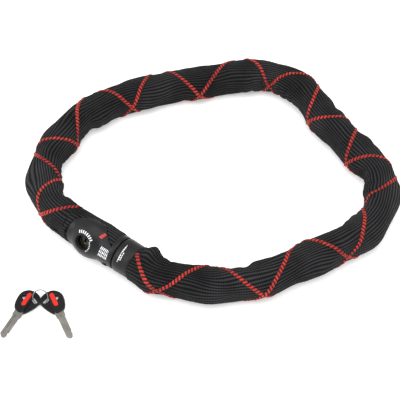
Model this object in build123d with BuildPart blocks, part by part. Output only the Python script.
from build123d import *
import os
from math import cos, pi, radians, sin, tan

# Chain lock: a square-link steel chain in a knitted textile sleeve, closed in a loop by a
# barrel lock with a key cylinder, and two keys on a wire ring. It lies flat on the floor.
# Units are millimetres. +Z is up, and the origin is on the floor under the middle of it all.

os.makedirs("parts", exist_ok=True)

# ---------------------------------------------------------------- driving dimensions

# Lock: the barrel's axis is horizontal and points from the sleeve's end to the plug.
lock_x = -107.0
lock_y = -66.0
lock_height = 19.5  # barrel axis above the floor
lock_angle = -37.0  # direction of the axis seen from above, degrees from +X
face_tilt = 27.0  # how far the key face looks up, degrees

barrel_start = -26.0  # stations along the axis, measured from the key cylinder's axis
barrel_end = 34.2
barrel_radius = 17.0
shell_thickness = 3.0
boss_radius = 21.5
boss_face = 19.8  # distance of the boss's flat face from the axis
recess_radius = 7.2
recess_floor = 14.6
cover_half_angle = 100.0  # the front cover wraps this far each way from the key face

case_radius = 12.4
case_start = -26.0
case_end = 31.0
case_split_gap = 0.02

# Plug
bolt_radius = 5.0
bolt_tip = 10.0
bolt_fit = 0.06
groove_radius = 2.4
groove_start = 12.8
groove_end = 17.2
collar_start = 35.0
collar_end = 52.4
collar_radius = 17.0
plug_block_radius = 12.0

# Key cylinder
housing_radius = 8.0
housing_back = 2.3
housing_front = 14.2
core_radius = 5.5
core_fit = 0.06
core_front = 13.8
keyway_width = 2.4
keyway_height = 7.6
keyway_back = 4.0
wafer_count = 5
wafer_thickness = 0.8
wafer_width = 6.8
wafer_height = 9.0

# Pawl: a yoke on the core's cam pin, which goes from 45 degrees above to 45 below
pawl_travel = 2.4
cam_offset = pawl_travel / 2 / sin(radians(45))
cam_pin_radius = 1.2
pawl_half_thickness = 1.5
pawl_start = 13.0
pawl_end = 17.0

# Chain
bar = 7.0  # side of the links' square bar
bar_rounding = 1.8
link_inner_length = 30.0
link_inner_width = 12.4
link_pitch = 28.0
fixed_links = 5
plug_links = 25
pin_radius = 2.5
pin_slack = 0.5

# Sleeve
sleeve_radius = 16.5
sleeve_wall = 1.3
sleeve_gap = 0.2
joint_gap = 0.3  # between the two halves of the sleeve at the far cut

# Keys
key_height = 2.82  # middle of the bow above the floor
blade_thickness = 2.2
ring_radius = 7.0
ring_wire = 0.55
ring_tilt = 40.0

# ---------------------------------------------------------------- frames

along = Vector(cos(radians(lock_angle)), sin(radians(lock_angle)), 0)
back = Vector(-sin(radians(lock_angle)), cos(radians(lock_angle)), 0)
up = Vector(0, 0, 1)
facing = back * -cos(radians(face_tilt)) + up * sin(radians(face_tilt))
lock_centre = Vector(lock_x, lock_y, lock_height)


def lock_point(station):
    """Point on the lock's axis."""
    return lock_centre + along * station


def axis_plane(station):
    """Plane across the lock's axis: x to the back, y up, z towards the plug."""
    return Plane(origin=lock_point(station), x_dir=back, z_dir=along)


def face_plane(depth):
    """Plane across the cylinder's axis: x towards the plug, z out of the key face."""
    return Plane(origin=lock_centre + facing * depth, x_dir=along, z_dir=facing)


def turned_plane(station):
    """Plane across the lock's axis with its x out of the key face."""
    return Plane(origin=lock_point(station), x_dir=facing, z_dir=along)


# ---------------------------------------------------------------- the route of the chain

cut_mid = Vector(-135.0, 80.0, 16.5)  # middle of the run where the sleeve is in two halves
cut_run = 40.0

route = [
    lock_point(barrel_start),
    lock_point(barrel_start - 24),
    Vector(-160, -6, 17.5),
    Vector(-162, 28, 16.5),
    cut_mid - back * (cut_run / 2),
    cut_mid + back * (cut_run / 2),
    Vector(-87, 118, 16.5),
    Vector(-44, 133, 16.5),
    Vector(2, 142, 16.5),
    Vector(42, 152, 16.5),
    Vector(71, 150, 16.5),
    Vector(97, 136, 16.5),
    Vector(113, 111, 16.5),
    Vector(131, 75, 16.5),
    Vector(157, 41, 16.5),
    Vector(176, 6, 16.5),
    Vector(172, -31, 16.5),
    Vector(148, -64, 16.5),
    Vector(104, -88, 16.5),
    Vector(60, -111, 16.5),
    Vector(18, -123, 16.5),
    Vector(-22, -117, 17.5),
    lock_point(collar_end + 22),
    lock_point(collar_end),
]
cut_index = 4  # the cut lies between this point and the next


def bend_radii(points):
    """Largest fillet radius that leaves a short straight on each side of every corner."""
    radii = []
    for before, here, after in zip(points, points[1:], points[2:]):
        turn = radians((here - before).get_angle(after - here))
        shorter = min((here - before).length, (after - here).length)
        radii.append(0.45 * shorter / tan(turn / 2))
    return radii


radii = bend_radii(route)
print("bend radii:", [round(r) for r in radii])

fixed_route = route[: cut_index + 1] + [cut_mid - back * (joint_gap / 2)]
plug_route = [cut_mid + back * (joint_gap / 2)] + route[cut_index + 1 :]
with BuildLine() as whole_line:
    FilletPolyline(*route, radius=radii)
with BuildLine() as fixed_line:
    FilletPolyline(*fixed_route, radius=radii[:cut_index])
with BuildLine() as plug_line:
    FilletPolyline(*plug_route, radius=radii[cut_index:])
whole_path = whole_line.wires()[0]
fixed_path = fixed_line.wires()[0]
plug_path = plug_line.wires()[0]
print("sleeve length:", round(whole_path.length, 1))
print("fixed half:", round(fixed_path.length, 1), "plug half:", round(plug_path.length, 1))


def write(part, name):
    """Label a finished piece and write it as its own STEP file."""
    part.label = name
    export_step(part, f"parts/{name}.step")


# ---------------------------------------------------------------- sleeve


def sleeve_on(path, name, start_gap, end_gap):
    """Hollow fabric tube round one stretch of the route, trimmed back at its ends."""
    start = start_gap / path.length
    end = 1 - end_gap / path.length
    stretch = path.trim(start, end)
    with BuildPart() as sleeve:
        with BuildSketch(Plane(origin=stretch @ 0, z_dir=stretch % 0)):
            Circle(sleeve_radius)
            Circle(sleeve_radius - sleeve_wall, mode=Mode.SUBTRACT)
        sweep(path=stretch)
    write(sleeve.part, name)
    expected = pi * (sleeve_radius**2 - (sleeve_radius - sleeve_wall) ** 2) * stretch.length
    print(name, "volume / expected:", round(sleeve.part.volume / expected, 3))


sleeve_on(fixed_path, "sleeve_fixed_half", sleeve_gap, 0)
sleeve_on(plug_path, "sleeve_plug_half", 0, sleeve_gap)

# ---------------------------------------------------------------- chain links


def make_link(plane, name):
    """One square-bar link, lying in the given plane with its length along x."""
    with BuildPart() as link:
        with BuildSketch(plane):
            SlotOverall(link_inner_length + 2 * bar, link_inner_width + 2 * bar)
            SlotOverall(link_inner_length, link_inner_width, mode=Mode.SUBTRACT)
        extrude(amount=bar / 2, both=True)
        flats = link.faces().filter_by(Axis(plane.origin, plane.z_dir))
        fillet(flats.edges(), radius=bar_rounding)
    write(link.part, name)


def chain_plane(centre, direction, number):
    """Links lie flat and on edge by turns."""
    side = up.cross(direction).normalized()
    normal = direction.cross(side).normalized() if number % 2 else side
    return Plane(origin=centre, x_dir=direction, z_dir=normal)


def plane_on_route(distance, number):
    half = link_pitch / 2
    before = whole_path.position_at(max(distance - half, 0), PositionMode.LENGTH)
    after = whole_path.position_at(min(distance + half, whole_path.length), PositionMode.LENGTH)
    return chain_plane((before + after) / 2, (after - before).normalized(), number)


anchor_station = barrel_start + 5.0
first_link_station = anchor_station + pin_radius + pin_slack - link_inner_length / 2
plug_pin_station = collar_end - 3.9
last_link_station = plug_pin_station - pin_radius - pin_slack + link_inner_length / 2
first_distance = barrel_start - first_link_station
last_distance = whole_path.length - (last_link_station - collar_end)
print("first link at", round(first_distance, 1), "last link at", round(last_distance, 1))

for index in range(fixed_links):
    number = index + 1
    if index == 0:
        place = chain_plane(lock_point(first_link_station), along, number)
    else:
        place = plane_on_route(first_distance + index * link_pitch, number)
    make_link(place, f"link_{number:02d}")

for index in range(plug_links):
    number = fixed_links + plug_links - index
    parity = index + 1
    if index == 0:
        place = chain_plane(lock_point(last_link_station), along, parity)
    else:
        place = plane_on_route(last_distance - index * link_pitch, parity)
    make_link(place, f"link_{number:02d}")


# ---------------------------------------------------------------- lock case

fork_half_height = 4.0  # half the slot that a link's end sits in
pocket_clearance = 0.2


def pawl_outline(spread):
    """The pawl's yoke, arm and tooth, seen along the cylinder's axis, grown by spread."""
    yoke_left = -4.0 - spread
    yoke_right = 5.5 + spread
    yoke_bottom = -3.0 - spread
    arm_bottom = bolt_radius + pawl_travel + 0.2 - spread
    top = arm_bottom + 2.0 + 2 * spread
    tooth_bottom = bolt_radius + 0.15 - spread
    with BuildLine() as outline:
        Polyline(
            (yoke_left, yoke_bottom),
            (yoke_right, yoke_bottom),
            (yoke_right, arm_bottom),
            (pawl_start - spread, arm_bottom),
            (pawl_start - spread, tooth_bottom),
            (pawl_end + spread, tooth_bottom),
            (pawl_end + spread, top),
            (yoke_left, top),
            close=True,
        )
    return outline.line


def case_half(side, name):
    """Front (side = 1) or rear (side = -1) half of the steel case, split through its axis."""
    with BuildPart() as case:
        with BuildSketch(turned_plane(case_start)):
            Circle(case_radius)
        extrude(amount=case_end - case_start)
        with BuildSketch(turned_plane(bolt_tip - 1.0)):
            Circle(bolt_radius + bolt_fit)
        extrude(amount=case_end - bolt_tip + 1.0, mode=Mode.SUBTRACT)
        with BuildSketch(face_plane(housing_back - 0.3)):
            Circle(housing_radius + 0.05)
        extrude(amount=case_radius, mode=Mode.SUBTRACT)
        pocket = face_plane(-pawl_half_thickness - pocket_clearance)
        pocket_depth = housing_back + pawl_half_thickness + pocket_clearance
        with BuildSketch(pocket):
            with BuildLine():
                add(pawl_outline(pocket_clearance))
            make_face()
            with BuildLine():
                add(pawl_outline(pocket_clearance).moved(Location((0, -pawl_travel, 0))))
            make_face()
        extrude(amount=pocket_depth - 0.3, mode=Mode.SUBTRACT)
        with BuildSketch(axis_plane(case_start)):
            Rectangle(4 * case_radius, 2 * fork_half_height)
        extrude(amount=15.5, mode=Mode.SUBTRACT)
        with BuildSketch(Plane(origin=lock_point(anchor_station), x_dir=along, z_dir=up)):
            Circle(pin_radius + 0.02)
        extrude(amount=case_radius, both=True, mode=Mode.SUBTRACT)
        with BuildSketch(face_plane(0)):
            with Locations(*rivet_places):
                Circle(rivet_radius + 0.02)
        extrude(amount=case_radius, both=True, mode=Mode.SUBTRACT)
        split_face = face_plane(side * case_split_gap / 2)
        split(bisect_by=split_face, keep=Keep.TOP if side > 0 else Keep.BOTTOM)
    write(case.part, name)


rivet_radius = 1.25
rivet_places = [(22.0, 8.0), (22.0, -8.0), (9.0, -8.6)]
rivet_half_length = 7.6

case_half(1, "case_front")
case_half(-1, "case_back")

with BuildPart() as case_rivets:
    with BuildSketch(face_plane(0)):
        with Locations(*rivet_places):
            Circle(rivet_radius)
    extrude(amount=rivet_half_length, both=True)
write(case_rivets.part, "case_rivets")

with BuildPart() as anchor_pin:
    with BuildSketch(Plane(origin=lock_point(anchor_station), x_dir=along, z_dir=up)):
        Circle(pin_radius)
    extrude(amount=11.0, both=True)
    chamfer(anchor_pin.faces().filter_by(Axis.Z).edges(), length=0.5)
write(anchor_pin.part, "anchor_pin")

# ---------------------------------------------------------------- key cylinder

with BuildPart() as cylinder_housing:
    with BuildSketch(face_plane(housing_back)):
        Circle(housing_radius)
        Circle(core_radius + core_fit, mode=Mode.SUBTRACT)
    extrude(amount=housing_front - housing_back)
write(cylinder_housing.part, "cylinder_housing")

wafer_pitch = 1.9
wafer_depths = [keyway_back + 0.6 + index * wafer_pitch for index in range(wafer_count)]

with BuildPart() as cylinder_core:
    with BuildSketch(face_plane(housing_back)):
        Circle(core_radius)
    extrude(amount=core_front - housing_back)
    chamfer(cylinder_core.edges().group_by(Axis(lock_centre, facing))[-1], length=0.4)
    with BuildSketch(face_plane(keyway_back)):
        Rectangle(keyway_width, keyway_height)
    extrude(amount=core_front - keyway_back + 1.0, mode=Mode.SUBTRACT)
    for depth in wafer_depths:
        with BuildSketch(face_plane(depth)):
            Rectangle(wafer_width + 0.3, wafer_height + 0.3)
        extrude(amount=wafer_thickness + 0.2, mode=Mode.SUBTRACT)
    with BuildSketch(face_plane(-pawl_half_thickness)):
        with Locations((cam_offset * cos(radians(45)), cam_offset * sin(radians(45)))):
            Circle(cam_pin_radius)
    extrude(amount=housing_back + pawl_half_thickness)
write(cylinder_core.part, "cylinder_core")

with BuildPart() as wafers:
    for depth in wafer_depths:
        with BuildSketch(face_plane(depth + 0.1)):
            RectangleRounded(wafer_width, wafer_height, 1.5)
            Rectangle(keyway_width + 0.4, keyway_height - 2.4, mode=Mode.SUBTRACT)
        extrude(amount=wafer_thickness)
write(wafers.part, "wafers")

with BuildPart() as keyhole_bezel:
    with BuildSketch(face_plane(housing_front + 0.05)):
        Circle(recess_radius + 0.9)
        Circle(core_radius + 0.3, mode=Mode.SUBTRACT)
    extrude(amount=recess_floor - housing_front - 0.1)
write(keyhole_bezel.part, "keyhole_bezel")

with BuildPart() as locking_pawl:
    with BuildSketch(face_plane(-pawl_half_thickness)):
        with BuildLine():
            add(pawl_outline(0))
        make_face()
        slot_low = cam_offset * cos(radians(45)) - cam_pin_radius - 0.2
        slot_high = cam_offset + cam_pin_radius + 0.2
        with Locations(((slot_low + slot_high) / 2, pawl_travel / 2)):
            Rectangle(slot_high - slot_low, 2 * cam_pin_radius + 0.4, mode=Mode.SUBTRACT)
    extrude(amount=2 * pawl_half_thickness)
write(locking_pawl.part, "locking_pawl")

# ---------------------------------------------------------------- covers of the lock

shell_inner = case_radius + 0.1
shell_outer = shell_inner + shell_thickness
cover_inner = shell_outer + 0.1
nose_start = case_end + 0.3
key_bore_radius = housing_radius + 0.1

with BuildPart() as barrel_shell:
    with BuildSketch(turned_plane(barrel_start)):
        Circle(shell_outer)
        Circle(shell_inner, mode=Mode.SUBTRACT)
    extrude(amount=nose_start - 0.1 - barrel_start)
    with BuildSketch(face_plane(5)):
        Circle(key_bore_radius)
    extrude(amount=2 * barrel_radius, mode=Mode.SUBTRACT)
    with BuildSketch(axis_plane(barrel_start)):
        Rectangle(4 * barrel_radius, 2 * fork_half_height)
    extrude(amount=15.5, mode=Mode.SUBTRACT)
write(barrel_shell.part, "barrel_shell")


def sector(half_angle, centre_angle):
    """Wedge outline for cutting a sector out of a shell, wider than the lock."""
    reach = 3 * barrel_radius
    angles = [radians(centre_angle + turn * half_angle / 2) for turn in (-2, -1, 0, 1, 2)]
    rim = [(reach * cos(angle), reach * sin(angle)) for angle in angles]
    with BuildLine() as edge:
        Polyline((0, 0), *rim, close=True)
    return edge.line


cover_seam = 0.7  # degrees of gap between the front cover and the fabric wrap
wrap_half_angle = 180 - cover_half_angle - cover_seam
boss_section = Plane(origin=lock_centre, x_dir=along, z_dir=along.cross(facing))
boss_axis = Axis(lock_centre, facing)
face_radius = (boss_radius**2 - boss_face**2) ** 0.5

with BuildPart() as front_cover:
    with BuildSketch(turned_plane(barrel_start)):
        Circle(barrel_radius)
        with BuildLine():
            add(sector(wrap_half_angle + cover_seam, 180))
        make_face(mode=Mode.SUBTRACT)
    extrude(amount=nose_start - 0.1 - barrel_start)
    with BuildSketch(boss_section):
        with BuildLine():
            Line((0, 0), (boss_radius, 0))
            RadiusArc((boss_radius, 0), (face_radius, boss_face), -boss_radius)
            Line((face_radius, boss_face), (0, boss_face))
            Line((0, boss_face), (0, 0))
        make_face()
    revolve(axis=boss_axis)
    with BuildSketch(turned_plane(barrel_start)):
        Circle(cover_inner)
    extrude(amount=nose_start - barrel_start, mode=Mode.SUBTRACT)
    with BuildSketch(face_plane(0)):
        Circle(key_bore_radius + 0.2)
    extrude(amount=recess_floor, mode=Mode.SUBTRACT)
    with BuildSketch(face_plane(recess_floor)):
        Circle(recess_radius)
    extrude(amount=boss_radius, mode=Mode.SUBTRACT)
write(front_cover.part, "front_cover")

with BuildPart() as lock_wrap:
    with BuildSketch(turned_plane(barrel_start)):
        with BuildLine():
            add(sector(wrap_half_angle, 180))
        make_face()
        Circle(barrel_radius, mode=Mode.INTERSECT)
        Circle(cover_inner, mode=Mode.SUBTRACT)
    extrude(amount=nose_start - 0.1 - barrel_start)
write(lock_wrap.part, "lock_wrap")

with BuildPart() as nose_ring:
    with BuildSketch(axis_plane(nose_start)):
        Circle(barrel_radius - 0.3)
        Circle(bolt_radius + bolt_fit, mode=Mode.SUBTRACT)
    extrude(amount=barrel_end - nose_start)
    rims = nose_ring.edges().filter_by(GeomType.CIRCLE).sort_by(SortBy.RADIUS)[-2:]
    chamfer(rims, length=0.5)
write(nose_ring.part, "nose_ring")

# ---------------------------------------------------------------- ends of the sleeve

ferrule_radius = sleeve_radius - sleeve_wall - 0.1
ferrule_wall = 0.8
ferrule_length = 7.0


def make_ferrule(station, name):
    """Thin steel band just inside an end of the sleeve."""
    with BuildPart() as ferrule:
        with BuildSketch(axis_plane(station)):
            Circle(ferrule_radius)
            Circle(ferrule_radius - ferrule_wall, mode=Mode.SUBTRACT)
        extrude(amount=ferrule_length)
    write(ferrule.part, name)


make_ferrule(barrel_start - 0.5 - ferrule_length, "sleeve_ferrule_lock")
make_ferrule(collar_end + 0.5, "sleeve_ferrule_plug")

# ---------------------------------------------------------------- plug

fork_start = plug_pin_station - pin_radius - pin_slack - bar - 0.3

with BuildPart() as plug_bolt:
    with BuildSketch(axis_plane(bolt_tip)):
        Circle(bolt_radius)
    extrude(amount=collar_start - bolt_tip)
    chamfer(plug_bolt.edges().group_by(Axis(lock_centre, along))[0], length=1.0)
    with BuildSketch(axis_plane(groove_start)):
        Circle(bolt_radius)
        Circle(groove_radius, mode=Mode.SUBTRACT)
    extrude(amount=groove_end - groove_start, mode=Mode.SUBTRACT)
    with BuildSketch(axis_plane(collar_start)):
        Circle(plug_block_radius)
    extrude(amount=collar_end - collar_start)
    with BuildSketch(axis_plane(fork_start)):
        Rectangle(4 * plug_block_radius, 2 * fork_half_height)
    extrude(amount=collar_end - fork_start, mode=Mode.SUBTRACT)
    with BuildSketch(Plane(origin=lock_point(plug_pin_station), x_dir=along, z_dir=up)):
        Circle(pin_radius + 0.02)
    extrude(amount=plug_block_radius, both=True, mode=Mode.SUBTRACT)
write(plug_bolt.part, "plug_bolt")

with BuildPart() as plug_pin:
    with BuildSketch(Plane(origin=lock_point(plug_pin_station), x_dir=along, z_dir=up)):
        Circle(pin_radius)
    extrude(amount=11.0, both=True)
    chamfer(plug_pin.faces().filter_by(Axis.Z).edges(), length=0.5)
write(plug_pin.part, "plug_pin")

with BuildPart() as plug_collar:
    with BuildSketch(axis_plane(collar_start)):
        Circle(collar_radius)
        Circle(plug_block_radius + 0.1, mode=Mode.SUBTRACT)
    extrude(amount=collar_end - collar_start)
    rims = plug_collar.edges().filter_by(GeomType.CIRCLE).sort_by(SortBy.RADIUS)[-2:]
    fillet(rims, radius=0.8)
    with BuildSketch(axis_plane(fork_start)):
        Rectangle(2 * (link_inner_width / 2 + bar + 0.6), 2 * fork_half_height)
    extrude(amount=collar_end - fork_start, mode=Mode.SUBTRACT)
write(plug_collar.part, "plug_collar")

# ---------------------------------------------------------------- keys and their ring

bow_half_thickness = 2.3
lobe_half_thickness = 0.75
key_drop = 0.0373  # fall of the key towards its tip, so that it rests on bow and tip
hole_along = -2.7  # where the ring passes through the bow, in the key's own frame
hole_across = 6.3
blade_tip = 43.5


def key_plane(x, y, heading):
    """Frame of a key: x along the blade, y across the bow, z up."""
    angle = radians(heading)
    direction = Vector(cos(angle), sin(angle), -key_drop).normalized()
    across = up.cross(direction).normalized()
    return Plane(origin=(x, y, key_height), x_dir=direction, z_dir=direction.cross(across))


def tang_outline(spread):
    return Rectangle(8 + 2 * spread, 6 + 2 * spread)


def make_key(plane, inboard, slot_heading, name):
    """Blade, bow and coloured inlay of one key; inboard is the side of the ring's hole."""
    with BuildPart() as blade:
        with BuildSketch(plane):
            with Locations((9, 0)):
                tang_outline(0)
            with BuildLine():
                Polyline(
                    (12, 3.0),
                    (12.6, 4.2),
                    (18.5, 4.2),
                    (20, 3.3),
                    (blade_tip - 7, 3.3),
                    (blade_tip - 5.5, 2.3),
                    (blade_tip - 3.5, 3.0),
                    (blade_tip - 0.8, 2.2),
                    (blade_tip, 0.8),
                    (blade_tip, -0.8),
                    (blade_tip - 2.5, -3.3),
                    (20, -3.3),
                    (18.5, -4.2),
                    (12.6, -4.2),
                    (12, -3.0),
                    close=True,
                )
            make_face()
        extrude(amount=blade_thickness / 2, both=True)
        for side in (1, -1):
            with BuildSketch(plane.offset(side * blade_thickness / 2)):
                with Locations((29, 0)):
                    SlotOverall(22, 2.2)
            extrude(amount=-side * 0.6, mode=Mode.SUBTRACT)
    write(blade.part, f"{name}_blade")
    with BuildPart() as bow:
        with BuildSketch(plane):
            with BuildLine():
                Polyline(
                    (-9, -6 * inboard),
                    (-7.5, 7 * inboard),
                    (-3, 12 * inboard),
                    (9, 7 * inboard),
                    (12, 3.5 * inboard),
                    (12, -3.5 * inboard),
                    (6, -9 * inboard),
                    close=True,
                )
            make_face()
            fillet(vertices(), radius=2.4)
        extrude(amount=bow_half_thickness, both=True)
        flats = bow.faces().filter_by(Axis(plane.origin, plane.z_dir))
        fillet(flats.edges(), radius=0.8)
        for side in (1, -1):
            with BuildSketch(plane.offset(side * lobe_half_thickness)):
                with Locations((0, 8.4 * inboard)):
                    RectangleRounded(24, 10, 1.0)
            extrude(amount=side * bow_half_thickness, mode=Mode.SUBTRACT)
        with BuildSketch(plane):
            with Locations((9, 0)):
                tang_outline(0.03)
        extrude(amount=blade_thickness / 2 + 0.03, both=True, mode=Mode.SUBTRACT)
        with BuildSketch(plane):
            with Locations((-1, -5.0 * inboard)):
                RegularPolygon(radius=2.5, side_count=3)
            with Locations(Location((hole_along, hole_across * inboard), slot_heading)):
                SlotOverall(8.4, 3.0)
        extrude(amount=bow_half_thickness, both=True, mode=Mode.SUBTRACT)
        with BuildSketch(plane.offset(bow_half_thickness)):
            SlotOverall(15.0, 4.2)
        extrude(amount=-0.9, mode=Mode.SUBTRACT)
    write(bow.part, f"{name}_bow")
    with BuildPart() as inlay:
        with BuildSketch(plane.offset(bow_half_thickness - 0.88)):
            SlotOverall(14.9, 4.1)
        extrude(amount=1.05)
    write(inlay.part, f"{name}_inlay")


slot_turn = 62.5
key_a_plane = key_plane(-167.8, -128.3, -117)
key_b_plane = key_plane(-142.5, -128.6, -65)
make_key(key_a_plane, 1, slot_turn, "key_a")
make_key(key_b_plane, -1, -slot_turn, "key_b")

ring_centre = Vector(-155.2, -126.2, ring_radius * sin(radians(ring_tilt)) + ring_wire + 0.1)
ring_normal = Vector(0, -sin(radians(ring_tilt)), cos(radians(ring_tilt)))
with BuildPart(Plane(origin=ring_centre, x_dir=(1, 0, 0), z_dir=ring_normal)) as key_ring:
    Torus(ring_radius, ring_wire)
write(key_ring.part, "key_ring")
